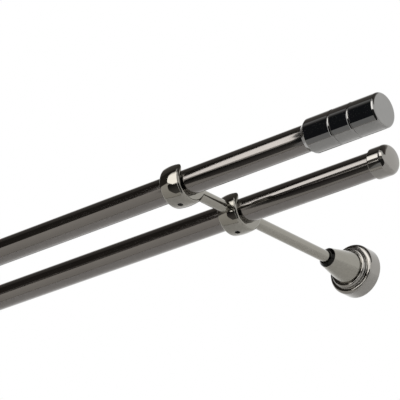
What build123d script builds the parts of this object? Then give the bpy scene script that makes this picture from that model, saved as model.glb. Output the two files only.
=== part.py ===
from build123d import *
import math
import os

# Double curtain pole: two parallel round tubes on two turned wall brackets, millimetres.
# +X runs along the tubes, +Y into the wall, +Z up.
# The origin is the centre of the wall face of the right-hand bracket.

# Tubes
tube_diameter = 19.0
tube_wall = 1.0
tube_length = 1200.0
tube_overhang = 133.0
rear_tube_projection = 145.0
tube_spacing = 62.0

# Arm and link rods, with the threaded spigots that screw into the cups and the wall plate
rod_diameter = 9.0
spigot_diameter = 6.0
spigot_clearance = 0.05
wall_spigot_length = 8.0
spigot_tip_gap = 0.4
spigot_tip_chamfer = 0.6

# Barrel-shaped cups that hold the tubes, open at the top
cup_diameter = 31.5
cup_offset = 1.6
cup_rise = 0.6
cup_width = 18.0
cup_crown_radius = 44.0
cup_edge_round = 2.5
cup_bore_clearance = 0.2

# Socket set screws
screw_diameter = 4.0
screw_clearance = 0.05
screw_tip_chamfer = 0.5
screw_end_chamfer = 0.3
socket_across_flats = 2.0
socket_depth = 1.8
socket_depth_share = 0.6
cup_screw_length = 5.0
collar_screw_length = 4.0
finial_screw_length = 2.5

# Wall plate, with its threaded centre boss and two countersunk fixing holes
plate_diameter = 34.0
plate_thickness = 3.0
plate_edge_chamfer = 0.5
boss_diameter = 13.0
boss_reach = 12.0
fixing_hole_diameter = 4.5
fixing_hole_spacing = 22.0
countersink_diameter = 8.4
countersink_angle = 90.0

# Stepped rose that covers the wall plate
rose_diameter = 39.4
rose_step_reach = 12.0
rose_step_round = 2.2
rose_tier_diameter = 31.6
rose_reach = 15.4
rose_tier_round = 1.8
rose_valley_round = 0.5
rose_wall = 1.5
rose_plate_gap = 0.2
rose_hole_diameter = 15.0
rose_foot_round = 0.4

# Tapered collar round the arm
collar_base_diameter = 25.4
collar_front_diameter = 15.0
collar_length = 24.6
collar_front_round = 0.4
collar_nose_length = 2.3
collar_nose_diameter = 11.2
collar_nose_round = 0.7
collar_bore_clearance = 0.15
collar_wall = 2.0
collar_guide_length = 12.0
collar_screw_setback = 6.0

# Turned finial of the front tube
finial_diameter = 24.8
finial_length = 62.0
finial_mouth_diameter = 20.6
finial_mouth_taper = 3.4
finial_mouth_round = 1.6
finial_end_round = 2.0
finial_first_groove = 24.6
finial_second_groove = 40.6
groove_width = 2.2
groove_depth = 0.75
finial_socket_depth = 18.0
finial_screw_setback = 9.0
tube_socket_clearance = 0.1

# Domed end cap of the rear tube
cap_diameter = 22.2
cap_length = 15.0
cap_socket_depth = 9.4
cap_mouth_round = 0.7
cap_corner_round = 4.8
cap_crown = 1.6

# Worked-out places
tube_radius = tube_diameter / 2
rod_radius = rod_diameter / 2
cup_radius = cup_diameter / 2
cup_bore_radius = tube_radius + cup_bore_clearance
front_tube_projection = rear_tube_projection + tube_spacing
rod_face_sink = cup_radius - math.sqrt(cup_radius**2 - (rod_radius + cup_rise) ** 2)
cup_wall_face = cup_radius + cup_offset - rod_face_sink
cup_room_face = cup_radius - cup_offset - rod_face_sink
tube_right_end = tube_overhang
tube_left_end = tube_overhang - tube_length
left_bracket_x = tube_left_end + tube_overhang
collar_screw_reach = rose_reach + collar_length - collar_screw_setback
cut_margin = 0.01


def along_arm(x):
    """Place whose reach axis leaves the wall at this x."""
    return Pos(x, 0, 0) * Rot(0, 0, -90)


def along_tube(x, projection, side):
    """Place whose reach axis runs outwards along a tube, side +1 to the right and -1 to the left."""
    turn = 0 if side > 0 else 180
    return Pos(x, -projection, 0) * Rot(0, 0, turn)


def rounded(face, rounds):
    """Give the corners of a flat face, named by their places, the given rounds."""
    for place, radius in rounds.items():
        corner = face.vertices().sort_by_distance(Vector(*place))[0]
        face = fillet(corner, radius)
    return face


def rounded_outline(points, rounds):
    """Face of a polygon whose numbered corners carry the given rounds."""
    face = make_face(Polyline(*points, close=True))
    return rounded(face, {points[corner]: radius for corner, radius in rounds.items()})


def turn_face(face, place):
    """Turn a face that lies above the reach axis into a solid."""
    return place * revolve(face, Axis.X, 360)


def make_tube(projection):
    """Plain round tube, open at both ends."""
    ring = Circle(tube_radius) - Circle(tube_radius - tube_wall)
    start = Plane(origin=(tube_left_end, -projection, 0), x_dir=(0, 1, 0), z_dir=(1, 0, 0))
    return extrude(start * ring, tube_length)


def make_set_screw(length, place):
    """Socket set screw: tip at the place's origin, hexagon socket at the far end of its reach axis."""
    r = screw_diameter / 2
    points = [
        (0, 0),
        (0, r - screw_tip_chamfer),
        (screw_tip_chamfer, r),
        (length - screw_end_chamfer, r),
        (length, r - screw_end_chamfer),
        (length, 0),
    ]
    body = turn_face(rounded_outline(points, {}), Location())
    depth = min(socket_depth, socket_depth_share * length)
    mouth = Plane(origin=(length, 0, 0), x_dir=(0, 1, 0), z_dir=(-1, 0, 0))
    socket_radius = socket_across_flats / 2 / math.cos(math.radians(30))
    body -= extrude(mouth * RegularPolygon(socket_radius, 6), depth)
    return place * body


def peg(start, length, radius, place):
    """Round peg along the place's reach axis, used to cut holes and flat seats."""
    foot = (Align.CENTER, Align.CENTER, Align.MIN)
    return place * Pos(start, 0, 0) * Rot(0, 90, 0) * Cylinder(radius, length, align=foot)


def screw_hole(length, place):
    """Hole of a set screw along the place's reach axis."""
    return peg(0, length, screw_diameter / 2 + screw_clearance, place)


def spigot_hole(start, length, place):
    """Hole of a rod's threaded spigot along the place's reach axis."""
    return peg(start, length, spigot_diameter / 2 + spigot_clearance, place)


def make_rod(x, start, end, start_spigot, end_spigot):
    """Round rod between two reaches from the wall, with a threaded spigot at each end."""
    r = rod_radius
    s = spigot_diameter / 2
    c = spigot_tip_chamfer
    points = [
        (start - start_spigot, 0),
        (start - start_spigot, s - c),
        (start - start_spigot + c, s),
        (start, s),
        (start, r),
        (end, r),
        (end, s),
        (end + end_spigot - c, s),
        (end + end_spigot, s - c),
        (end + end_spigot, 0),
    ]
    return turn_face(rounded_outline(points, {}), along_arm(x))


def make_wall_plate(x):
    """Round plate with a threaded boss and two countersunk holes, one above the other."""
    r = plate_diameter / 2
    b = boss_diameter / 2
    points = [
        (0, 0),
        (0, r),
        (plate_thickness - plate_edge_chamfer, r),
        (plate_thickness, r - plate_edge_chamfer),
        (plate_thickness, b),
        (boss_reach, b),
        (boss_reach, 0),
    ]
    place = along_arm(x)
    plate = turn_face(rounded_outline(points, {}), place)
    hole_start = boss_reach - wall_spigot_length - spigot_tip_gap
    plate -= spigot_hole(hole_start, wall_spigot_length + spigot_tip_gap + cut_margin, place)
    hole_r = fixing_hole_diameter / 2
    sink_r = countersink_diameter / 2
    sink_depth = (sink_r - hole_r) / math.tan(math.radians(countersink_angle / 2))
    for z in (-fixing_hole_spacing / 2, fixing_hole_spacing / 2):
        spot = place * Pos(0, 0, z)
        plate -= peg(0, plate_thickness, hole_r, spot)
        sink = Cone(hole_r, sink_r, sink_depth, align=(Align.CENTER, Align.CENTER, Align.MAX))
        plate -= spot * Pos(plate_thickness, 0, 0) * Rot(0, 90, 0) * sink
    return plate


def make_rose(x):
    """Hollow stepped rose: a band against the wall, a rounded step and a smaller rounded tier."""
    band = rose_diameter / 2
    tier = rose_tier_diameter / 2
    hole = rose_hole_diameter / 2
    inner_band = plate_diameter / 2 + rose_plate_gap
    inner_tier = tier - rose_wall
    points = [
        (0, inner_band),
        (0, band),
        (rose_step_reach, band),
        (rose_step_reach, tier),
        (rose_reach, tier),
        (rose_reach, hole),
        (rose_reach - rose_wall, hole),
        (rose_reach - rose_wall, inner_tier),
        (rose_step_reach - rose_wall, inner_tier),
        (rose_step_reach - rose_wall, inner_band),
    ]
    rounds = {1: rose_foot_round, 2: rose_step_round, 3: rose_valley_round, 4: rose_tier_round}
    return turn_face(rounded_outline(points, rounds), along_arm(x))


def collar_radius(reach):
    """Outer radius of the collar at a reach from the wall."""
    share = (reach - rose_reach) / collar_length
    return (collar_base_diameter + share * (collar_front_diameter - collar_base_diameter)) / 2


def make_collar(x):
    """Hollow tapered collar on the arm, with a chamfered nose and a hole for its set screw."""
    bore = rod_radius + collar_bore_clearance
    front = rose_reach + collar_length
    guide = front - collar_guide_length
    nose = front + collar_nose_length
    points = [
        (rose_reach, collar_base_diameter / 2 - collar_wall),
        (rose_reach, collar_base_diameter / 2),
        (front, collar_front_diameter / 2),
        (nose, collar_nose_diameter / 2),
        (nose, bore),
        (guide, bore),
        (guide, collar_radius(guide) - collar_wall),
    ]
    rounds = {2: collar_front_round, 3: collar_nose_round}
    collar = turn_face(rounded_outline(points, rounds), along_arm(x))
    upwards = Pos(x, -collar_screw_reach, 0) * Rot(0, -90, 0)
    return collar - screw_hole(collar_base_diameter / 2, upwards)


def cup_outline():
    """Half outline of a cup: a slightly crowned rim between flat sides, with rounded edges."""
    half = cup_width / 2
    rim = cup_radius - cup_crown_radius + math.sqrt(cup_crown_radius**2 - half**2)
    outline = [
        Line((-half, 0), (-half, rim)),
        ThreePointArc((-half, rim), (0, cup_radius), (half, rim)),
        Line((half, rim), (half, 0)),
        Line((half, 0), (-half, 0)),
    ]
    return rounded(make_face(outline), {(-half, rim): cup_edge_round, (half, rim): cup_edge_round})


def cup_channel():
    """Round-bottomed channel along the tube, open upwards and longer than the cup."""
    r = cup_bore_radius
    top = 2 * cup_radius
    outline = [
        Line((-r, top), (-r, 0)),
        ThreePointArc((-r, 0), (0, -r), (r, 0)),
        Line((r, 0), (r, top)),
        Line((r, top), (-r, top)),
    ]
    plane = Plane(origin=(-cup_width, 0, 0), x_dir=(0, 1, 0), z_dir=(1, 0, 0))
    return extrude(plane * make_face(outline), 2 * cup_width)


def make_cup(x, projection, takes_link):
    """Barrel-shaped cup, open at the top, with flat sides and seats for the rods and a set screw."""
    at_tube = Pos(x, -projection, 0)
    cup = turn_face(cup_outline(), at_tube * Pos(0, cup_offset, cup_rise))
    cup -= at_tube * cup_channel()
    cup -= rod_seat(x, -projection, 1, cup_wall_face)
    if takes_link:
        cup -= rod_seat(x, -projection, -1, cup_room_face)
    return cup - screw_hole(2 * cup_radius, at_tube * Rot(0, 90, 0))


def rod_seat(x, tube_y, side, face):
    """Flat seat for a rod's end face and the hole for its spigot, on the wall side +1 or room side -1."""
    place = Pos(x, tube_y, 0) * Rot(0, 0, 90 * side)
    flat = peg(face, cup_radius, rod_radius + spigot_clearance, place)
    return flat + spigot_hole(0, face + cut_margin, place)


def make_finial(mouth_x, screw_x, side):
    """Turned finial with a chamfered mouth, two narrow grooves and a blind socket for the tube."""
    r = finial_diameter / 2
    socket = tube_radius + tube_socket_clearance
    points = [
        (0, socket),
        (0, finial_mouth_diameter / 2),
        (finial_mouth_taper, r),
        (finial_length, r),
        (finial_length, 0),
        (finial_socket_depth, 0),
        (finial_socket_depth, socket),
    ]
    body = turn_face(rounded_outline(points, {2: finial_mouth_round, 3: finial_end_round}), Location())
    half = groove_width / 2
    groove_radius = (half**2 + groove_depth**2) / (2 * groove_depth)
    for reach in (finial_first_groove, finial_second_groove):
        ring = Pos(reach, r - groove_depth + groove_radius) * Circle(groove_radius)
        body -= revolve(ring, Axis.X, 360)
    finial = along_tube(mouth_x, front_tube_projection, side) * body
    wallwards = Pos(screw_x, -front_tube_projection, 0) * Rot(0, 0, 90)
    return finial - screw_hole(finial_diameter, wallwards)


def make_cap(place):
    """Push-on end cap with a rounded, slightly crowned end."""
    r = cap_diameter / 2
    socket = tube_radius + tube_socket_clearance
    shoulder = cap_length - cap_crown
    crown_radius = (r**2 + cap_crown**2) / (2 * cap_crown)
    half_way = cap_length - crown_radius + math.sqrt(crown_radius**2 - (r / 2) ** 2)
    outline = [
        Line((0, socket), (0, r)),
        Line((0, r), (shoulder, r)),
        ThreePointArc((shoulder, r), (half_way, r / 2), (cap_length, 0)),
        Line((cap_length, 0), (cap_socket_depth, 0)),
        Line((cap_socket_depth, 0), (cap_socket_depth, socket)),
        Line((cap_socket_depth, socket), (0, socket)),
    ]
    face = rounded(make_face(outline), {(0, r): cap_mouth_round, (shoulder, r): cap_corner_round})
    return turn_face(face, place)


pieces = {}
pieces["front_tube"] = make_tube(front_tube_projection)
pieces["rear_tube"] = make_tube(rear_tube_projection)

cup_spigot_wall_side = cup_wall_face - cup_bore_radius - spigot_tip_gap
cup_spigot_room_side = cup_room_face - cup_bore_radius - spigot_tip_gap
arm_end = rear_tube_projection - cup_wall_face
link_start = rear_tube_projection + cup_room_face
link_end = front_tube_projection - cup_wall_face
cup_rows = (("rear", rear_tube_projection, True), ("front", front_tube_projection, False))

for side_name, x in (("right", 0.0), ("left", left_bracket_x)):
    pieces["wall_plate_" + side_name] = make_wall_plate(x)
    pieces["wall_rose_" + side_name] = make_rose(x)
    pieces["arm_collar_" + side_name] = make_collar(x)
    screw_place = Pos(x, -collar_screw_reach, rod_radius) * Rot(0, -90, 0)
    pieces["collar_screw_" + side_name] = make_set_screw(collar_screw_length, screw_place)
    arm = make_rod(x, boss_reach, arm_end, wall_spigot_length, cup_spigot_wall_side)
    link = make_rod(x, link_start, link_end, cup_spigot_room_side, cup_spigot_wall_side)
    pieces["arm_rod_" + side_name] = arm
    pieces["link_rod_" + side_name] = link
    for row, projection, takes_link in cup_rows:
        pieces[row + "_cup_" + side_name] = make_cup(x, projection, takes_link)
        screw_place = Pos(x, -projection, -tube_radius) * Rot(0, 90, 0)
        pieces[row + "_cup_screw_" + side_name] = make_set_screw(cup_screw_length, screw_place)

for side_name, end, side in (("right", tube_right_end, 1), ("left", tube_left_end, -1)):
    mouth_x = end - side * finial_socket_depth
    screw_x = mouth_x + side * finial_screw_setback
    pieces["finial_" + side_name] = make_finial(mouth_x, screw_x, side)
    screw_place = Pos(screw_x, tube_radius - front_tube_projection, 0) * Rot(0, 0, 90)
    pieces["finial_screw_" + side_name] = make_set_screw(finial_screw_length, screw_place)
    cap_place = along_tube(end - side * cap_socket_depth, rear_tube_projection, side)
    pieces["end_cap_" + side_name] = make_cap(cap_place)

os.makedirs("parts", exist_ok=True)
for name, solid in pieces.items():
    export_step(solid, f"parts/{name}.step")
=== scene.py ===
"""Looks of a double curtain pole in black nickel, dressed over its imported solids.

Sizes in the classes are in millimetres, apart from the studio's, which are in metres. A piece is turned
or shaped on its own axis and then placed in the row frame in metres: +X along the tubes, +Y into the
wall, +Z up.
"""

import logging
import math
from dataclasses import dataclass
from enum import Enum

import bmesh
import bpy
from mathutils import Matrix, Vector


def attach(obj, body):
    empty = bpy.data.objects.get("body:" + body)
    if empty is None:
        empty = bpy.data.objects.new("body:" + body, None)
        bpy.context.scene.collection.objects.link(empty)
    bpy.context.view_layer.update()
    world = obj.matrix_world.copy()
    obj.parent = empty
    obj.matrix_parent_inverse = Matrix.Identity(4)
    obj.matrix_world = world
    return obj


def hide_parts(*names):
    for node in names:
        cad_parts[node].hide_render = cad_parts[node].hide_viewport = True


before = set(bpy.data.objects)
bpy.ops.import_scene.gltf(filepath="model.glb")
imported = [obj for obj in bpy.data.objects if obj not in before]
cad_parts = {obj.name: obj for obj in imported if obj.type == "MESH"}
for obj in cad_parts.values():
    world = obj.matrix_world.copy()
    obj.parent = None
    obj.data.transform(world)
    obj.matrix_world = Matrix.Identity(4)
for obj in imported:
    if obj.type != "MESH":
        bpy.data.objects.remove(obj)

log = logging.getLogger("curtain_pole")

# One millimetre in metres.
MM = 0.001

# Sizes in millimetres that several pieces share.
BRACKETS_APART = 934.0
TUBE_OVERHANG = 133.0
TUBE_BORE = 19.2
ROD_DIAMETER = 9.0
SCREW_HOLE = 4.1

# Sides of a set screw's hole, and half the square round it that is cut, as a share of its diameter.
HOLE_SIDES = 24
HOLE_FIELD = 0.8

# Bends in degrees that stay sharp, and the weight of flat faces in the shading.
SHARP_ANGLE = 38.0
FLAT_FACE_WEIGHT = 100

# Nearness in millimetres of points that are merged, or that count as lying on a plane.
MERGE_GAP = 1e-4
SLIVER = 1e-5
ON_PLANE = 1e-3

# Precision of a cut through a placed piece, in metres.
CUT_PRECISION = 1e-7

Geometry = list[bmesh.types.BMVert | bmesh.types.BMEdge | bmesh.types.BMFace]


class Side(Enum):
    """Which end of the pole a piece belongs to, seen from the room."""

    RIGHT = 1
    LEFT = -1

    @property
    def word(self) -> str:
        """Ending of the names of the pieces on this side."""
        return self.name.lower()

    @property
    def bracket_x(self) -> float:
        """Place of this side's bracket along the tubes."""
        return 0.0 if self is Side.RIGHT else -BRACKETS_APART

    @property
    def tube_end(self) -> float:
        """Place of the ends of both tubes on this side."""
        return self.bracket_x + self.value * TUBE_OVERHANG


class Row(Enum):
    """The two tubes, by their distance from the wall."""

    FRONT = 207.0
    REAR = 145.0

    @property
    def word(self) -> str:
        """Beginning of the names of the pieces in this row."""
        return self.name.lower()


@dataclass(frozen=True)
class Corner:
    """Corner of a turned outline.

    Args:
        reach: Distance along the axis.
        radius: Distance from the axis.
        rounding: Radius of the arc that replaces the corner.
    """

    reach: float
    radius: float
    rounding: float = 0.0


def arc(centre: tuple[float, float], radius: float, start: float, end: float, steps: int) -> list[Corner]:
    """Corners along an arc of a turned outline.

    Args:
        centre: Reach and radius of the arc's centre.
        radius: Radius of the arc.
        start: First angle in degrees, 0 along the axis and 90 away from it.
        end: Last angle in degrees.
        steps: Number of straight steps.

    Returns:
        The corners from start to end, both included.
    """
    corners = []
    for step in range(steps + 1):
        angle = math.radians(start + (end - start) * step / steps)
        reach = centre[0] + radius * math.cos(angle)
        corners.append(Corner(reach, centre[1] + radius * math.sin(angle)))
    return corners


def along_arm(x: float) -> Matrix:
    """Place of a piece that is turned round an arm's axis.

    Args:
        x: Place of the arm along the tubes.

    Returns:
        The matrix that carries the piece from its own axis, in millimetres, to the frame, in metres.
    """
    start = Matrix.Translation((x * MM, 0, 0))
    return start @ Matrix.Rotation(-math.pi / 2, 4, "Z") @ Matrix.Scale(MM, 4)


def along_tube(x: float, row: Row, side: Side) -> Matrix:
    """Place of a piece that is turned round a tube's axis.

    Args:
        x: Where the piece starts along the tubes.
        row: The tube.
        side: The end of the pole that the piece points to.

    Returns:
        The matrix that carries the piece from its own axis, in millimetres, to the frame, in metres.
    """
    turn = 0.0 if side is Side.RIGHT else math.pi
    start = Matrix.Translation((x * MM, -row.value * MM, 0))
    return start @ Matrix.Rotation(turn, 4, "Z") @ Matrix.Scale(MM, 4)


class Lathe:
    """Turns outlines into closed meshes round the X axis."""

    steps = 128
    round_segments = 8

    def outline(self, corners: list[Corner]) -> bmesh.types.BMesh:
        """Closed wire through the corners, with their roundings.

        Args:
            corners: The outline, in order.

        Returns:
            A bmesh that holds the wire in the XY plane.
        """
        bm = bmesh.new()
        points = [bm.verts.new((corner.reach, corner.radius, 0)) for corner in corners]
        for here, there in zip(points, points[1:] + points[:1]):
            bm.edges.new((here, there))
        for point, corner in zip(points, corners):
            if corner.rounding:
                self.round_corner(bm, point, corner.rounding)
        return bm

    def round_corner(self, bm: bmesh.types.BMesh, point: bmesh.types.BMVert, radius: float) -> None:
        """Replace one corner of the wire by an arc.

        Args:
            bm: The wire.
            point: Its corner.
            radius: Radius of the arc.
        """
        first, second = [(edge.other_vert(point).co - point.co).normalized() for edge in point.link_edges]
        set_back = radius / math.tan(first.angle(second) / 2)
        bmesh.ops.bevel(
            bm, geom=[point], offset=set_back, segments=self.round_segments, profile=0.5,
            affect="VERTICES", material=-1, clamp_overlap=True,
        )

    def turn(self, corners: list[Corner], place: Matrix) -> bmesh.types.BMesh:
        """Full turn of an outline.

        Args:
            corners: The outline, in order.
            place: Where the axis lies in the row frame.

        Returns:
            A closed bmesh in metres with its faces outwards.
        """
        bm = self.outline(corners)
        bmesh.ops.spin(
            bm, geom=bm.verts[:] + bm.edges[:], cent=(0, 0, 0), axis=(1, 0, 0), angle=math.tau,
            steps=self.steps, use_merge=True,
        )
        bmesh.ops.remove_doubles(bm, verts=bm.verts, dist=MERGE_GAP)
        bmesh.ops.dissolve_degenerate(bm, dist=SLIVER, edges=bm.edges)
        axis_lines = [edge for edge in bm.edges if not edge.link_faces]
        bmesh.ops.delete(bm, geom=axis_lines, context="EDGES")
        bmesh.ops.recalc_face_normals(bm, faces=bm.faces)
        bm.transform(place)
        return bm


def with_bounds(faces: list[bmesh.types.BMFace]) -> Geometry:
    """Faces together with their edges and vertices.

    Args:
        faces: Some faces of one mesh.

    Returns:
        The faces, their edges and their vertices, each once.
    """
    edges = list(dict.fromkeys(edge for face in faces for edge in face.edges))
    return faces + edges + list(dict.fromkeys(vertex for face in faces for vertex in face.verts))


def pierce(bm: bmesh.types.BMesh, foot: Vector, way: Vector, along: Vector) -> None:
    """Set screw's round hole through the wall on one side of a piece.

    Args:
        bm: The piece in the row frame, in metres.
        foot: Point on the piece's axis.
        way: Unit direction of the hole, outwards.
        along: Unit direction of the piece's axis.
    """
    across = way.cross(along)
    field = SCREW_HOLE * HOLE_FIELD * MM
    flat = SCREW_HOLE / 2 * MM * math.cos(math.pi / HOLE_SIDES)
    for side in (-1, 1):
        bmesh.ops.bisect_plane(
            bm, geom=with_bounds(bm.faces[:]), dist=CUT_PRECISION, plane_co=foot + along * (side * field),
            plane_no=along,
        )

    def offsets(face: bmesh.types.BMFace) -> tuple[float, float, float]:
        """Place of a face against the hole.

        Args:
            face: The face.

        Returns:
            How far its middle lies along the hole, along the axis and across both.
        """
        middle = face.calc_center_median() - foot
        return middle.dot(way), middle.dot(along), middle.dot(across)

    for step in range(HOLE_SIDES):
        angle = math.tau * step / HOLE_SIDES
        facing = along * math.cos(angle) + across * math.sin(angle)
        outer = [face for face in bm.faces if offsets(face)[0] > 0]
        near = [face for face in outer if max(map(abs, offsets(face)[1:])) < field]
        bmesh.ops.bisect_plane(
            bm, geom=with_bounds(near), dist=CUT_PRECISION, plane_co=foot + facing * flat, plane_no=facing,
        )
    outer = [face for face in bm.faces if offsets(face)[0] > 0]
    bored = [face for face in outer if math.hypot(*offsets(face)[1:]) < flat]
    bmesh.ops.delete(bm, geom=bored, context="FACES")
    rims = [edge for edge in bm.edges if len(edge.link_faces) == 1]
    bmesh.ops.bridge_loops(bm, edges=rims)
    bmesh.ops.recalc_face_normals(bm, faces=bm.faces)


def new_object(name: str, bm: bmesh.types.BMesh) -> bpy.types.Object:
    """Object in the scene, made of a mesh that it uses up.

    Args:
        name: Name of the object and of its mesh.
        bm: The mesh in the row frame, in metres.

    Returns:
        The object, at the origin.
    """
    mesh = bpy.data.meshes.new(name)
    bm.to_mesh(mesh)
    bm.free()
    made = bpy.data.objects.new(name, mesh)
    bpy.context.scene.collection.objects.link(made)
    return made


def finish_piece(
    name: str, bm: bmesh.types.BMesh, finishes: bpy.types.Material | tuple[bpy.types.Material, ...],
    slot: str, *nodes: str,
) -> None:
    """Make an object of a mesh, dress it and let it stand for its nodes.

    Args:
        name: Name of the piece.
        bm: Its mesh in the row frame, in metres.
        finishes: Its finish, or one for each material index of its faces.
        slot: Name of the piece's material slot; not used.
        *nodes: The solids that it stands for.
    """
    open_edges = sum(1 for edge in bm.edges if len(edge.link_faces) != 2)
    piece = new_object(name, bm)
    mesh = piece.data
    mesh.polygons.foreach_set("use_smooth", [True] * len(mesh.polygons))
    mesh.set_sharp_from_angle(angle=math.radians(SHARP_ANGLE))
    for finish in finishes if isinstance(finishes, tuple) else (finishes,):
        mesh.materials.append(finish)
    shading = piece.modifiers.new("even_normals", "WEIGHTED_NORMAL")
    shading.mode = "FACE_AREA"
    shading.weight = FLAT_FACE_WEIGHT
    shading.keep_sharp = True
    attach(piece, "root")
    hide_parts(*nodes)
    log.info("%s: %d faces, %d open edges", name, len(mesh.polygons), open_edges)


class Wiring:
    """Adds and joins the nodes of one shader tree."""

    def __init__(self, tree: bpy.types.NodeTree) -> None:
        """Keep the tree, with its nodes as they are.

        Args:
            tree: The tree.
        """
        self.tree = tree

    def add(self, kind: str, **inputs: object) -> bpy.types.Node:
        """Add a node and set or join its inputs.

        Args:
            kind: The node's type name.
            **inputs: Values or output sockets, by input name with _ for a space.

        Returns:
            The node.
        """
        node = self.tree.nodes.new(kind)
        for word, value in inputs.items():
            self.give(node, word.replace("_", " "), value)
        return node

    def give(self, node: bpy.types.Node, name: str, value: object) -> None:
        """Set or join one input of a node.

        Args:
            node: The node.
            name: Name of the input.
            value: Its value, or the output socket that feeds it.
        """
        socket = node.inputs[name]
        if isinstance(value, bpy.types.NodeSocket):
            self.tree.links.new(value, socket)
        else:
            socket.default_value = value

    def math(self, operation: str, first: object, second: object = 0.0) -> bpy.types.NodeSocket:
        """Result of one sum on numbers or sockets.

        Args:
            operation: Blender's word for the sum.
            first: First number or socket.
            second: Second number or socket.

        Returns:
            The result's socket.
        """
        node = self.tree.nodes.new("ShaderNodeMath")
        node.operation = operation
        for socket, value in zip(node.inputs, (first, second)):
            if isinstance(value, bpy.types.NodeSocket):
                self.tree.links.new(value, socket)
            else:
                socket.default_value = value
        return node.outputs[0]

    def span(
        self, value: object, low: float, high: float, start: float, end: float,
    ) -> bpy.types.NodeSocket:
        """Value carried smoothly from one range to another and kept inside it.

        Args:
            value: The value or its socket.
            low: Lower end of its own range.
            high: Upper end of its own range.
            start: Result at the lower end.
            end: Result at the upper end.

        Returns:
            The result's socket.
        """
        node = self.tree.nodes.new("ShaderNodeMapRange")
        node.interpolation_type = "SMOOTHSTEP"
        for name, number in (("From Min", low), ("From Max", high), ("To Min", start), ("To Max", end)):
            node.inputs[name].default_value = number
        self.give(node, "Value", value)
        return node.outputs["Result"]


def new_material(name: str) -> tuple[bpy.types.Material, Wiring]:
    """Material without nodes.

    Args:
        name: Its name.

    Returns:
        The material and the wiring of its nodes.
    """
    material = bpy.data.materials.new(name)
    material.use_nodes = True
    material.node_tree.nodes.clear()
    return material, Wiring(material.node_tree)


class Effects:
    """Shader groups that the finishes share."""

    speck_fineness = 7.0
    speck_share = 0.3

    def __init__(self) -> None:
        """Build each group once."""
        self.haze = self.make_haze()
        self.marks = self.make_marks()

    @staticmethod
    def new_group(
        name: str, inputs: dict[str, float], outputs: tuple[str, ...],
    ) -> tuple[bpy.types.NodeTree, Wiring]:
        """Empty group with a vector input, number inputs and number outputs.

        Args:
            name: Name of the group.
            inputs: Its number inputs with their values.
            outputs: Names of its outputs.

        Returns:
            The group and the wiring of its nodes.
        """
        tree = bpy.data.node_groups.new(name, "ShaderNodeTree")
        tree.interface.new_socket("Vector", in_out="INPUT", socket_type="NodeSocketVector")
        for word, value in inputs.items():
            socket = tree.interface.new_socket(word, in_out="INPUT", socket_type="NodeSocketFloat")
            socket.default_value = value
        for word in outputs:
            tree.interface.new_socket(word, in_out="OUTPUT", socket_type="NodeSocketFloat")
        return tree, Wiring(tree)

    def make_haze(self) -> bpy.types.NodeTree:
        """Cloudy differences in the plating, as a mask from 0 to 1.

        Returns:
            The group.
        """
        tree, wires = self.new_group("plating_haze", {"Scale": 40.0, "Contrast": 1.0}, ("Mask",))
        given = wires.add("NodeGroupInput")
        vector, scale = given.outputs["Vector"], given.outputs["Scale"]
        clouds = wires.add("ShaderNodeTexNoise", Vector=vector, Scale=scale, Detail=4.0)
        finer = wires.math("MULTIPLY", scale, self.speck_fineness)
        specks = wires.add("ShaderNodeTexNoise", Vector=vector, Scale=finer, Detail=2.0)
        broad = wires.math("MULTIPLY", clouds.outputs["Fac"], 1 - self.speck_share)
        mixed = wires.math("ADD", broad, wires.math("MULTIPLY", specks.outputs["Fac"], self.speck_share))
        spread = wires.math("MULTIPLY", wires.math("SUBTRACT", mixed, 0.5), given.outputs["Contrast"])
        wires.add("NodeGroupOutput", Mask=wires.math("ADD", spread, 0.5))
        return tree

    def make_marks(self) -> bpy.types.NodeTree:
        """Fine polishing lines that run along the X of the given vector, as a height.

        Returns:
            The group.
        """
        tree, wires = self.new_group("polishing_marks", {"Scale": 900.0, "Stretch": 0.02}, ("Height",))
        given = wires.add("NodeGroupInput")
        parts = wires.add("ShaderNodeSeparateXYZ", Vector=given.outputs["Vector"])
        drawn = wires.math("MULTIPLY", parts.outputs["X"], given.outputs["Stretch"])
        vector = wires.add("ShaderNodeCombineXYZ", X=drawn, Y=parts.outputs["Y"], Z=parts.outputs["Z"])
        scale = given.outputs["Scale"]
        lines = wires.add("ShaderNodeTexNoise", Vector=vector.outputs[0], Scale=scale, Detail=3.0)
        wires.add("NodeGroupOutput", Height=lines.outputs["Fac"])
        return tree


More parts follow.
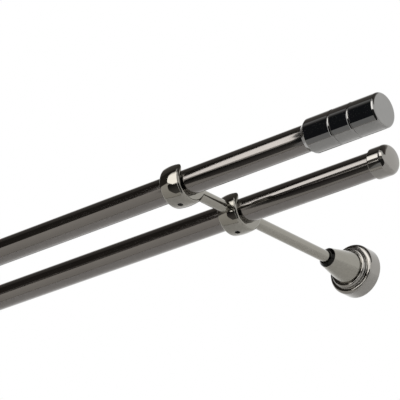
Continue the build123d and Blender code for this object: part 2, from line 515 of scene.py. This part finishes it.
@dataclass(frozen=True)
class Metal:
    """Plated or bare metal finish.

    Args:
        name: Name of the material.
        dark: Colour of its darker clouds.
        light: Colour of its lighter clouds.
        smooth: Lowest roughness.
        rough: Highest roughness.
        cloud_scale: Clouds in a metre.
        line_scale: Polishing lines in a metre.
        line_stretch: How much longer than wide a line is, as a share.
        line_depth: Strength of the lines.
        turned: True where the lines run along the arm and not along the tubes.
        cloud_contrast: How far the clouds stand apart.
        cloud_range: Values of the clouds' mask between which the roughness changes.
        line_height: Height of the lines at full strength, in metres.
    """

    name: str
    dark: tuple[float, float, float]
    light: tuple[float, float, float]
    smooth: float
    rough: float
    cloud_scale: float = 30.0
    line_scale: float = 900.0
    line_stretch: float = 0.02
    line_depth: float = 0.03
    turned: bool = False
    cloud_contrast: float = 1.6
    cloud_range: tuple[float, float] = (0.2, 0.8)
    line_height: float = 0.0001

    def make(self, effects: Effects) -> bpy.types.Material:
        """Material with clouds in colour and roughness, and fine lines.

        Args:
            effects: The shared shader groups.

        Returns:
            The material.
        """
        material, wires = new_material(self.name)
        place = wires.add("ShaderNodeTexCoord").outputs["Object"]
        haze = wires.add("ShaderNodeGroup")
        haze.node_tree = effects.haze
        wires.give(haze, "Vector", place)
        wires.give(haze, "Scale", self.cloud_scale)
        wires.give(haze, "Contrast", self.cloud_contrast)
        marks = wires.add("ShaderNodeGroup")
        marks.node_tree = effects.marks
        turn = wires.add("ShaderNodeMapping", Vector=place)
        turn.inputs["Rotation"].default_value = (0, 0, math.pi / 2 if self.turned else 0)
        wires.give(marks, "Vector", turn.outputs["Vector"])
        wires.give(marks, "Scale", self.line_scale)
        wires.give(marks, "Stretch", self.line_stretch)
        tint = wires.add("ShaderNodeMix")
        tint.data_type = "RGBA"
        colours = [socket for socket in tint.inputs if socket.type == "RGBA"]
        colours[0].default_value = (*self.dark, 1)
        colours[1].default_value = (*self.light, 1)
        wires.tree.links.new(haze.outputs["Mask"], tint.inputs["Factor"])
        colour = next(socket for socket in tint.outputs if socket.type == "RGBA")
        bump = wires.add(
            "ShaderNodeBump", Height=marks.outputs["Height"], Strength=self.line_depth,
            Distance=self.line_height,
        )
        shader = wires.add(
            "ShaderNodeBsdfPrincipled", Base_Color=colour, Metallic=1.0,
            Roughness=wires.span(haze.outputs["Mask"], *self.cloud_range, self.smooth, self.rough),
            Normal=bump.outputs["Normal"],
        )
        wires.add("ShaderNodeOutputMaterial", Surface=shader.outputs["BSDF"])
        return material


class Finish(Enum):
    """The finishes of the pole's pieces."""

    TUBE = Metal(
        "nickel_tube", (0.19, 0.178, 0.168), (0.225, 0.212, 0.2), 0.06, 0.11, 12.0, 1100.0, 0.01, 0.02,
    )
    CASTING = Metal(
        "nickel_casting", (0.27, 0.26, 0.24), (0.31, 0.298, 0.278), 0.03, 0.08, 60.0, 2400.0, 0.05, 0.004,
    )
    CUP = Metal(
        "nickel_cup", (0.26, 0.25, 0.222), (0.3, 0.288, 0.256), 0.02, 0.06, 60.0, 2400.0, 0.05, 0.004,
    )
    ROD = Metal(
        "nickel_rod", (0.28, 0.268, 0.235), (0.32, 0.307, 0.272), 0.1, 0.16, 50.0, 1400.0, 0.02, 0.012, True,
    )
    # Near-black nose: a painted dark reflection that stands in for the dark surround the collar's chamfered
    # nose would mirror.
    NOSE = Metal(
        "black_nose", (0.012, 0.012, 0.011), (0.022, 0.021, 0.02), 0.08, 0.16, 200.0, 2400.0, 0.05, 0.01,
        True,
    )
    FINIAL = Metal(
        "nickel_finial", (0.26, 0.258, 0.25), (0.31, 0.305, 0.295), 0.02, 0.05, 45.0, 2400.0, 0.05, 0.004,
    )
    ZINC = Metal("zinc_plate", (0.5, 0.5, 0.5), (0.68, 0.69, 0.7), 0.3, 0.5, 220.0, 700.0, 0.1, 0.1)
    SCREW = Metal("black_screw_steel", (0.05, 0.05, 0.052), (0.09, 0.09, 0.09), 0.35, 0.55, 400.0)


@dataclass
class Tube:
    """One plain round tube."""

    row: Row
    diameter: float = 19.0
    wall: float = 1.0
    length: float = 1200.0
    rim_round: float = 0.2

    def build(self, finish: bpy.types.Material) -> None:
        """Turn the tube and dress it.

        Args:
            finish: Its material.
        """
        outer = self.diameter / 2
        inner = outer - self.wall
        corners = [
            Corner(0, inner), Corner(0, outer, self.rim_round),
            Corner(self.length, outer, self.rim_round), Corner(self.length, inner),
        ]
        place = along_tube(Side.RIGHT.tube_end - self.length, self.row, Side.RIGHT)
        name = self.row.word + "_tube"
        finish_piece("piece_" + name, Lathe().turn(corners, place), finish, "tube", name)


@dataclass
class Finial:
    """Turned finial with two narrow grooves and a blind socket."""

    side: Side
    diameter: float = 24.8
    length: float = 62.0
    mouth_diameter: float = 20.6
    mouth_taper: float = 3.4
    mouth_round: float = 1.6
    lip_round: float = 0.15
    end_round: float = 2.0
    groove_reaches: tuple[float, float] = (24.6, 40.6)
    groove_width: float = 2.2
    groove_depth: float = 0.75
    groove_steps: int = 10
    socket_depth: float = 18.0
    socket_diameter: float = TUBE_BORE
    screw_reach: float = 9.0

    def groove(self, reach: float) -> list[Corner]:
        """Outline of one groove.

        Args:
            reach: Place of its middle, from the finial's mouth.

        Returns:
            The corners of its arc, from its mouth side to its end side.
        """
        half = self.groove_width / 2
        radius = (half**2 + self.groove_depth**2) / (2 * self.groove_depth)
        centre = (reach, self.diameter / 2 - self.groove_depth + radius)
        lip = math.degrees(math.asin((centre[1] - self.diameter / 2) / radius))
        return arc(centre, radius, 180 + lip, 360 - lip, self.groove_steps)

    def build(self, finish: bpy.types.Material) -> None:
        """Turn the finial and dress it.

        Args:
            finish: Its material.
        """
        outer = self.diameter / 2
        socket = self.socket_diameter / 2
        corners = [
            Corner(0, socket), Corner(0, self.mouth_diameter / 2, self.lip_round),
            Corner(self.mouth_taper, outer, self.mouth_round),
            *self.groove(self.groove_reaches[0]), *self.groove(self.groove_reaches[1]),
            Corner(self.length, outer, self.end_round), Corner(self.length, 0),
            Corner(self.socket_depth, 0), Corner(self.socket_depth, socket),
        ]
        place = along_tube(self.side.tube_end - self.side.value * self.socket_depth, Row.FRONT, self.side)
        name = "finial_" + self.side.word
        bm = Lathe().turn(corners, place)
        pierce(bm, place @ Vector((self.screw_reach, 0, 0)), Vector((0, 1, 0)), Vector((1, 0, 0)))
        finish_piece("piece_" + name, bm, finish, "finial", name)


@dataclass
class EndCap:
    """Push-on cap with a rounded, slightly crowned end."""

    side: Side
    diameter: float = 22.2
    length: float = 15.0
    socket_depth: float = 9.4
    socket_diameter: float = TUBE_BORE
    mouth_round: float = 0.7
    corner_round: float = 4.8
    crown: float = 1.6
    shoulder_steps: int = 14
    crown_steps: int = 10

    def build(self, finish: bpy.types.Material) -> None:
        """Turn the cap and dress it.

        Args:
            finish: Its material.
        """
        outer = self.diameter / 2
        socket = self.socket_diameter / 2
        crown_radius = (outer**2 + self.crown**2) / (2 * self.crown)
        crown_centre = self.length - crown_radius
        rise = outer - self.corner_round
        run = math.sqrt((crown_radius - self.corner_round) ** 2 - rise**2)
        meeting = math.degrees(math.atan2(rise, run))
        shoulder = arc((crown_centre + run, rise), self.corner_round, 90, meeting, self.shoulder_steps)
        top = arc((crown_centre, 0), crown_radius, meeting, 0, self.crown_steps)
        corners = [
            Corner(0, socket), Corner(0, outer, self.mouth_round), *shoulder, *top[1:],
            Corner(self.socket_depth, 0), Corner(self.socket_depth, socket),
        ]
        place = along_tube(self.side.tube_end - self.side.value * self.socket_depth, Row.REAR, self.side)
        name = "end_cap_" + self.side.word
        finish_piece("piece_" + name, Lathe().turn(corners, place), finish, "plated_casting", name)


@dataclass
class BarrelCup:
    """Barrel-shaped cup with flat sides and a round-bottomed channel for the tube, open upwards."""

    row: Row
    side: Side
    diameter: float = 31.5
    offset: float = 1.6
    rise: float = 0.6
    width: float = 18.0
    crown_radius: float = 44.0
    edge_round: float = 2.5
    bore_diameter: float = 19.4
    break_edge: float = 0.25
    break_segments: int = 3
    bore_steps: int = 64
    edge_steps: int = 10
    crown_steps: int = 16
    rim_steps: int = 2 * Lathe.steps

    @property
    def rod_sink(self) -> float:
        """Depth of a rod's end face under the rim."""
        radius = self.diameter / 2
        return radius - math.sqrt(radius**2 - (ROD_DIAMETER / 2 + self.rise) ** 2)

    @property
    def wall_face(self) -> float:
        """Distance from the tube's axis to the rod's seat on the wall side."""
        return self.diameter / 2 + self.offset - self.rod_sink

    @property
    def room_face(self) -> float:
        """Distance from the tube's axis to the rod's seat on the room side."""
        return self.diameter / 2 - self.offset - self.rod_sink

    def rim(self) -> bmesh.types.BMesh:
        """Crowned rim with its rounded edges, a full turn round the barrel's own axis.

        Returns:
            The rim in millimetres, open at both sides.
        """
        half = self.width / 2
        centre = self.diameter / 2 - self.crown_radius
        reach = half - self.edge_round
        height = math.sqrt((self.crown_radius - self.edge_round) ** 2 - reach**2)
        meeting = math.degrees(math.atan2(height, reach))
        right = arc((reach, centre + height), self.edge_round, 0, meeting, self.edge_steps)
        over = arc((0, centre), self.crown_radius, meeting, 180 - meeting, self.crown_steps)
        left = arc((-reach, centre + height), self.edge_round, 180 - meeting, 180, self.edge_steps)
        corners = (*right, *over[1:-1], *left)
        bm = bmesh.new()
        points = [bm.verts.new((corner.reach, corner.radius, 0)) for corner in corners]
        for here, there in zip(points, points[1:]):
            bm.edges.new((here, there))
        bmesh.ops.spin(
            bm, geom=bm.verts[:] + bm.edges[:], cent=(0, 0, 0), axis=(1, 0, 0), angle=math.tau,
            steps=self.rim_steps, use_merge=True,
        )
        bmesh.ops.remove_doubles(bm, verts=bm.verts, dist=MERGE_GAP)
        bmesh.ops.translate(bm, verts=bm.verts, vec=(0, self.offset, self.rise))
        return bm

    def open_channel(self, bm: bmesh.types.BMesh) -> None:
        """Cut the rim between two upright planes and lay the channel's round bottom in.

        Args:
            bm: The rim.
        """
        bore = self.bore_diameter / 2
        for side in (-1, 1):
            upper = [face for face in bm.faces if face.calc_center_median().z > self.rise]
            bmesh.ops.bisect_plane(
                bm, geom=with_bounds(upper), dist=MERGE_GAP, plane_co=(0, side * bore, 0), plane_no=(0, 1, 0),
            )
        between = [
            face for face in bm.faces
            if face.calc_center_median().z > self.rise and abs(face.calc_center_median().y) < bore
        ]
        bmesh.ops.delete(bm, geom=between, context="FACES")
        half = self.width / 2
        ends = [bm.verts.new((x, -bore, 0)) for x in (-half, half)]
        line = bm.edges.new(ends)
        bmesh.ops.spin(
            bm, geom=[*ends, line], cent=(0, 0, 0), axis=(1, 0, 0), angle=math.pi, steps=self.bore_steps,
            use_merge=False,
        )

    def close_faces(self, bm: bmesh.types.BMesh) -> None:
        """Close the channel's upright walls and the two flat sides.

        Args:
            bm: The rim with its channel.
        """
        bore = self.bore_diameter / 2
        half = self.width / 2
        for x in (-half, half):
            for y in (-bore, bore):
                column = [
                    vertex for vertex in bm.verts
                    if max(abs(vertex.co.x - x), abs(vertex.co.y - y)) < ON_PLANE and vertex.co.z > -ON_PLANE
                ]
                column.sort(key=lambda vertex: vertex.co.z)
                bm.edges.new(column[:2])
        for axis, place in (("y", -bore), ("y", bore), ("x", -half), ("x", half)):
            ring = [
                edge for edge in bm.edges
                if len(edge.link_faces) < 2
                and all(abs(getattr(vertex.co, axis) - place) < ON_PLANE for vertex in edge.verts)
                and (axis == "x" or all(vertex.co.z > -ON_PLANE for vertex in edge.verts))
            ]
            bmesh.ops.contextual_create(bm, geom=ring)

    def build(self, finish: bpy.types.Material) -> None:
        """Build the cup, break its sharp edges and dress it.

        Args:
            finish: Its material.
        """
        bm = self.rim()
        self.open_channel(bm)
        self.close_faces(bm)
        bmesh.ops.recalc_face_normals(bm, faces=bm.faces)
        seams = [edge for edge in bm.edges if len(edge.link_faces) == 2]
        sharp = [edge for edge in seams if edge.calc_face_angle() > math.radians(SHARP_ANGLE)]
        bmesh.ops.bevel(
            bm, geom=sharp, offset=self.break_edge, segments=self.break_segments, profile=0.5, affect="EDGES",
            material=-1, clamp_overlap=True,
        )
        bmesh.ops.recalc_face_normals(bm, faces=bm.faces)
        foot = Vector((self.side.bracket_x * MM, -self.row.value * MM, 0))
        bm.transform(Matrix.Translation(foot) @ Matrix.Scale(MM, 4))
        pierce(bm, foot, Vector((0, 0, -1)), Vector((1, 0, 0)))
        name = f"{self.row.word}_cup_{self.side.word}"
        finish_piece("piece_" + name, bm, finish, "plated_casting", name)


@dataclass
class Rose:
    """Hollow stepped rose against the wall."""

    side: Side
    diameter: float = 39.4
    step_reach: float = 12.0
    step_round: float = 2.2
    tier_diameter: float = 31.6
    reach: float = 15.4
    tier_round: float = 1.8
    valley_round: float = 0.5
    wall: float = 1.5
    inner_diameter: float = 34.4
    hole_diameter: float = 15.0
    foot_round: float = 0.4

    def build(self, finish: bpy.types.Material) -> None:
        """Turn the rose and dress it.

        Args:
            finish: Its material.
        """
        inner = self.inner_diameter / 2
        tier = self.tier_diameter / 2
        hole = self.hole_diameter / 2
        corners = [
            Corner(0, inner), Corner(0, self.diameter / 2, self.foot_round),
            Corner(self.step_reach, self.diameter / 2, self.step_round),
            Corner(self.step_reach, tier, self.valley_round), Corner(self.reach, tier, self.tier_round),
            Corner(self.reach, hole), Corner(self.reach - self.wall, hole),
            Corner(self.reach - self.wall, tier - self.wall),
            Corner(self.step_reach - self.wall, tier - self.wall),
            Corner(self.step_reach - self.wall, inner),
        ]
        name = "wall_rose_" + self.side.word
        bm = Lathe().turn(corners, along_arm(self.side.bracket_x))
        finish_piece("piece_" + name, bm, finish, "plated_casting", name)


@dataclass
class ArmCollar:
    """Hollow tapered collar with a short nose, painted near-black as a painted dark reflection."""

    side: Side
    start: float = 15.4
    length: float = 24.6
    base_diameter: float = 25.4
    front_diameter: float = 15.0
    base_round: float = 0.1
    front_round: float = 0.4
    nose_length: float = 2.3
    nose_diameter: float = 11.2
    nose_round: float = 0.7
    bore_diameter: float = 9.3
    wall: float = 2.0
    guide_length: float = 12.0
    screw_set_back: float = 6.0

    def build(self, finish: bpy.types.Material, nose_painted_dark: bpy.types.Material) -> None:
        """Turn the collar and dress it, with its nose near-black as a painted dark reflection.

        Args:
            finish: Finish of the taper.
            nose_painted_dark: Finish of the nose.
        """
        front = self.start + self.length
        nose = front + self.nose_length
        guide = front - self.guide_length
        taper = (self.base_diameter - self.front_diameter) / 2 / self.length
        inner = self.front_diameter / 2 + taper * self.guide_length - self.wall
        corners = [
            Corner(self.start, self.base_diameter / 2 - self.wall),
            Corner(self.start, self.base_diameter / 2, self.base_round),
            Corner(front, self.front_diameter / 2, self.front_round),
            Corner(nose, self.nose_diameter / 2, self.nose_round), Corner(nose, self.bore_diameter / 2),
            Corner(guide, self.bore_diameter / 2), Corner(guide, inner),
        ]
        name = "arm_collar_" + self.side.word
        place = along_arm(self.side.bracket_x)
        bm = Lathe().turn(corners, place)
        pierce(bm, place @ Vector((front - self.screw_set_back, 0, 0)), Vector((0, 0, 1)), Vector((0, 1, 0)))
        # Faces past the collar's front take the nose's near-black painted dark reflection.
        for face in bm.faces:
            if face.calc_center_median().y < -front * MM:
                face.material_index = 1
        finish_piece("piece_" + name, bm, (finish, nose_painted_dark), "plated_casting", name)


@dataclass
class Bracket:
    """One bracket: rose, collar, arm, link and the two cups."""

    side: Side
    boss_reach: float = 12.0
    rod_round: float = 0.15
    screws: tuple[str, ...] = ("collar_screw", "rear_cup_screw", "front_cup_screw", "finial_screw")

    def build_rod(self, name: str, start: float, end: float, finish: bpy.types.Material) -> None:
        """Turn one rod and dress it.

        Args:
            name: Name of the rod.
            start: Distance of its end on the wall side from the wall.
            end: Distance of its other end from the wall.
            finish: Its finish.
        """
        radius = ROD_DIAMETER / 2
        corners = [
            Corner(start, 0), Corner(start, radius, self.rod_round), Corner(end, radius), Corner(end, 0),
        ]
        node = f"{name}_{self.side.word}"
        bm = Lathe().turn(corners, along_arm(self.side.bracket_x))
        finish_piece("piece_" + node, bm, finish, "rod", node)

    def build(self, wardrobe: dict[Finish, bpy.types.Material]) -> None:
        """Build the bracket's pieces and dress its hidden plate and screws.

        Args:
            wardrobe: The materials, by finish.
        """
        rear = BarrelCup(Row.REAR, self.side)
        front = BarrelCup(Row.FRONT, self.side)
        rear.build(wardrobe[Finish.CUP])
        front.build(wardrobe[Finish.CUP])
        self.build_rod("arm_rod", self.boss_reach, Row.REAR.value - rear.wall_face, wardrobe[Finish.ROD])
        self.build_rod(
            "link_rod", Row.REAR.value + rear.room_face, Row.FRONT.value - front.wall_face,
            wardrobe[Finish.ROD],
        )
        Rose(self.side).build(wardrobe[Finish.CASTING])
        ArmCollar(self.side).build(wardrobe[Finish.ROD], wardrobe[Finish.NOSE])
        dress_node("wall_plate_" + self.side.word, wardrobe[Finish.ZINC])
        for screw in self.screws:
            dress_node(f"{screw}_{self.side.word}", wardrobe[Finish.SCREW])


def dress_node(name: str, finish: bpy.types.Material) -> None:
    """Give a solid of the frame its finish.

    Args:
        name: Name of its node.
        finish: Its material.
    """
    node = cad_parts[name]
    node.data.materials.clear()
    node.data.materials.append(finish)
    log.info("%s: dressed", name)


class Tint(Enum):
    """Colours of the light in the studio."""

    WHITE = (1.0, 1.0, 1.0)
    WINDOW = (1.0, 0.985, 0.97)
    CREAM = (1.0, 0.97, 0.92)
    LINEN = (1.0, 0.96, 0.92)
    SAND = (1.0, 0.95, 0.9)
    OCHRE = (1.0, 0.92, 0.85)
    BROWN = (1.0, 0.9, 0.8)
    BLUE = (0.85, 0.95, 1.1)


@dataclass(frozen=True)
class Card:
    """Flat soft box or flag that the metal mirrors, unseen by the camera.

    Args:
        name: Name of the card.
        glow: Light that it gives at its lowest and at its highest turn; next to 0 for a flag.
        tint: Colour of that light.
        corners: Directions of its corners from a point on a tube's axis: how far they lean
            along the tube, -1 to 1, and the turn round it, in degrees up from the room.
        distance: Distance of its plane from that point, in metres.
        row: The tube.
        reach: Place of the point along the tube, in millimetres.
    """

    name: str
    glow: tuple[float, float]
    tint: Tint
    corners: tuple[tuple[float, float], ...]
    distance: float
    row: Row = Row.FRONT
    reach: float = 0.0

    def make_glow(self) -> bpy.types.Material:
        """Light that changes with the turn round the tube.

        Returns:
            The card's material.
        """
        material, wires = new_material(self.name)
        parts = wires.add("ShaderNodeSeparateXYZ", Vector=wires.add("ShaderNodeTexCoord").outputs["Object"])
        outwards = wires.math("SUBTRACT", -self.row.value * MM, parts.outputs["Y"])
        turn = wires.math("ARCTAN2", parts.outputs["Z"], outwards)
        turns = [math.radians(corner_turn) for _, corner_turn in self.corners]
        strength = wires.span(turn, min(turns), max(turns), *self.glow)
        glow = wires.add("ShaderNodeEmission", Color=(*self.tint.value, 1), Strength=strength)
        wires.add("ShaderNodeOutputMaterial", Surface=glow.outputs[0])
        return material

    def build(self) -> None:
        """Stand the card in the studio."""
        ways = []
        for lean, turn in self.corners:
            level = math.sqrt(1 - lean**2)
            angle = math.radians(turn)
            ways.append(Vector((lean, -level * math.cos(angle), level * math.sin(angle))))
        middle = sum(ways, Vector()).normalized()
        eye = Vector((self.reach * MM, -self.row.value * MM, 0))
        bm = bmesh.new()
        points = [bm.verts.new(eye + way * (self.distance / way.dot(middle))) for way in ways]
        bmesh.ops.contextual_create(bm, geom=points)
        card = new_object(self.name, bm)
        card.data.materials.append(self.make_glow())
        card.visible_camera = False
        card.visible_shadow = False


@dataclass
class Studio:
    """Floor, white surround, soft boxes, flags and the camera below the pole.

    Args:
        aim: Point that the camera looks at.
        azimuth: Turn of the camera from straight in front towards the right end, in degrees.
        elevation: Angle of the camera above the pole, in degrees.
        distance: Distance of the camera from its aim.
        focal_length: The lens, in millimetres.
        sensor_width: Width of the picture in the camera, in millimetres.
        clip: Nearest and farthest distance that the camera sees.
        floor_middle: Place of the middle of the floor.
        floor_size: Width of the floor.
        floor_shade: Whiteness of the floor, 0 to 1.
        cards: The soft boxes and flags.
    """

    aim: tuple[float, float, float] = (-0.0023, -0.1835, -0.0024)
    azimuth: float = 40.79
    elevation: float = -24.98
    distance: float = 1.6
    focal_length: float = 203.85
    sensor_width: float = 36.0
    clip: tuple[float, float] = (0.01, 100.0)
    floor_middle: tuple[float, float, float] = (-0.4, -1.0, -2.2)
    floor_size: float = 30.0
    floor_shade: float = 0.9
    cards: tuple[Card, ...] = (
        Card("window_box", (3.0, 3.0), Tint.WINDOW, (
            (-0.45, -11), (-0.54, -1), (-0.597, 6), (-0.565, 34), (0.55, 34), (0.6, -11),
        ), 1.46),
        Card("window_fade", (3.0, 0.25), Tint.WINDOW, (
            (-0.565, 34), (-0.545, 40), (-0.47, 48), (0.5, 52), (0.55, 34),
        ), 1.39),
        Card("dark_flat", (0.05, 0.04), Tint.BROWN, (
            (-0.2, 3), (-0.98, 3), (-0.98, 62), (-0.2, 62),
        ), 4.0),
        Card("dark_top", (0.09, 0.13), Tint.OCHRE, (
            (-0.1, 62), (-0.98, 62), (-0.98, 105), (-0.1, 105),
        ), 4.0),
        Card("dark_top_right", (0.07, 0.13), Tint.OCHRE, (
            (-0.1, 55), (0.9, 55), (0.9, 105), (-0.1, 105),
        ), 4.0),
        Card("dim_top", (0.2, 0.5), Tint.LINEN, (
            (0.9, 105), (-0.98, 105), (-0.98, 122), (0.9, 122),
        ), 4.0),
        Card("pale_sweep", (0.6, 0.75), Tint.CREAM, (
            (-0.15, 3), (-0.98, 3), (-0.98, -73), (-0.15, -73),
        ), 1.6),
        Card("sweep_edge", (0.25, 0.25), Tint.SAND, (
            (-0.15, -73), (-0.98, -73), (-0.98, -75.5), (-0.15, -75.5),
        ), 1.6),
        Card("low_flag", (0.12, 0.012), Tint.SAND, (
            (-0.54, -4), (-0.6, -9), (-0.605, -32), (-0.53, -48), (-0.45, -60), (0.08, -60), (0.15, -17),
            (-0.4, -14),
        ), 0.35),
        Card("finial_flag", (0.02, 0.02), Tint.BLUE, (
            (-0.69, 0), (-0.66, 39), (-0.15, 39), (-0.12, 0), (-0.15, -41), (-0.66, -41),
        ), 0.13, Row.FRONT, 145.0),
        Card("finial_top_flag", (0.03, 0.33), Tint.WHITE, (
            (-0.66, 39), (-0.26, 39), (-0.26, 64), (-0.62, 64),
        ), 0.17, Row.FRONT, 145.0),
        Card("finial_low_card", (0.36, 0.36), Tint.WHITE, (
            (-0.655, -41), (-0.28, -41), (-0.28, -70), (-0.655, -70),
        ), 0.18, Row.FRONT, 145.0),
        Card("end_low_flag", (0.03, 0.03), Tint.WHITE, (
            (-0.28, -6), (-0.28, -75), (0.85, -75), (0.85, -6),
        ), 0.14, Row.FRONT, 175.0),
    )

    def build_camera(self) -> None:
        """Camera at the photographed angle, below the pole and past its right end."""
        lens = bpy.data.cameras.new("camera")
        lens.lens = self.focal_length
        lens.sensor_width = self.sensor_width
        lens.clip_start, lens.clip_end = self.clip
        camera = bpy.data.objects.new("camera", lens)
        bpy.context.scene.collection.objects.link(camera)
        turn, rise = math.radians(self.azimuth), math.radians(self.elevation)
        level = math.cos(rise)
        back = Vector((math.sin(turn) * level, -math.cos(turn) * level, math.sin(rise)))
        camera.location = Vector(self.aim) + back * self.distance
        camera.rotation_mode = "QUATERNION"
        camera.rotation_quaternion = (-back).to_track_quat("-Z", "Y")
        bpy.context.scene.camera = camera

    def build_world(self) -> None:
        """White surround, the same for the camera and for the metal."""
        world = bpy.data.worlds.new("studio")
        bpy.context.scene.world = world
        world.use_nodes = True
        world.node_tree.nodes.clear()
        wires = Wiring(world.node_tree)
        surround = wires.add("ShaderNodeBackground", Color=(1, 1, 1, 1), Strength=1.0)
        wires.add("ShaderNodeOutputWorld", Surface=surround.outputs[0])

    def build_floor(self) -> None:
        """Pale paper floor far below the pole, clear when seen from underneath."""
        bm = bmesh.new()
        bmesh.ops.create_grid(bm, x_segments=1, y_segments=1, size=self.floor_size / 2)
        bm.transform(Matrix.Translation(self.floor_middle))
        floor = new_object("floor", bm)
        material, wires = new_material("pale_floor")
        paper = wires.add("ShaderNodeBsdfDiffuse", Color=(*[self.floor_shade] * 3, 1))
        clear = wires.add("ShaderNodeBsdfTransparent")
        back = wires.add("ShaderNodeNewGeometry").outputs["Backfacing"]
        under = wires.add("ShaderNodeMixShader", Fac=back)
        wires.tree.links.new(paper.outputs[0], under.inputs[1])
        wires.tree.links.new(clear.outputs[0], under.inputs[2])
        wires.add("ShaderNodeOutputMaterial", Surface=under.outputs[0])
        floor.data.materials.append(material)

    def build(self) -> None:
        """Set up the whole studio."""
        bpy.context.scene.view_settings.view_transform = "Standard"
        self.build_camera()
        self.build_world()
        self.build_floor()
        for card in self.cards:
            card.build()


def main() -> None:
    """Build the studio and the pole."""
    logging.basicConfig(level=logging.INFO, format="%(name)s %(message)s")
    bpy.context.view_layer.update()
    Studio().build()
    effects = Effects()
    wardrobe = {finish: finish.value.make(effects) for finish in Finish}
    for row in Row:
        Tube(row).build(wardrobe[Finish.TUBE])
    for side in Side:
        Bracket(side).build(wardrobe)
        Finial(side).build(wardrobe[Finish.FINIAL])
        EndCap(side).build(wardrobe[Finish.CASTING])


if __name__ == "__main__":
    main()
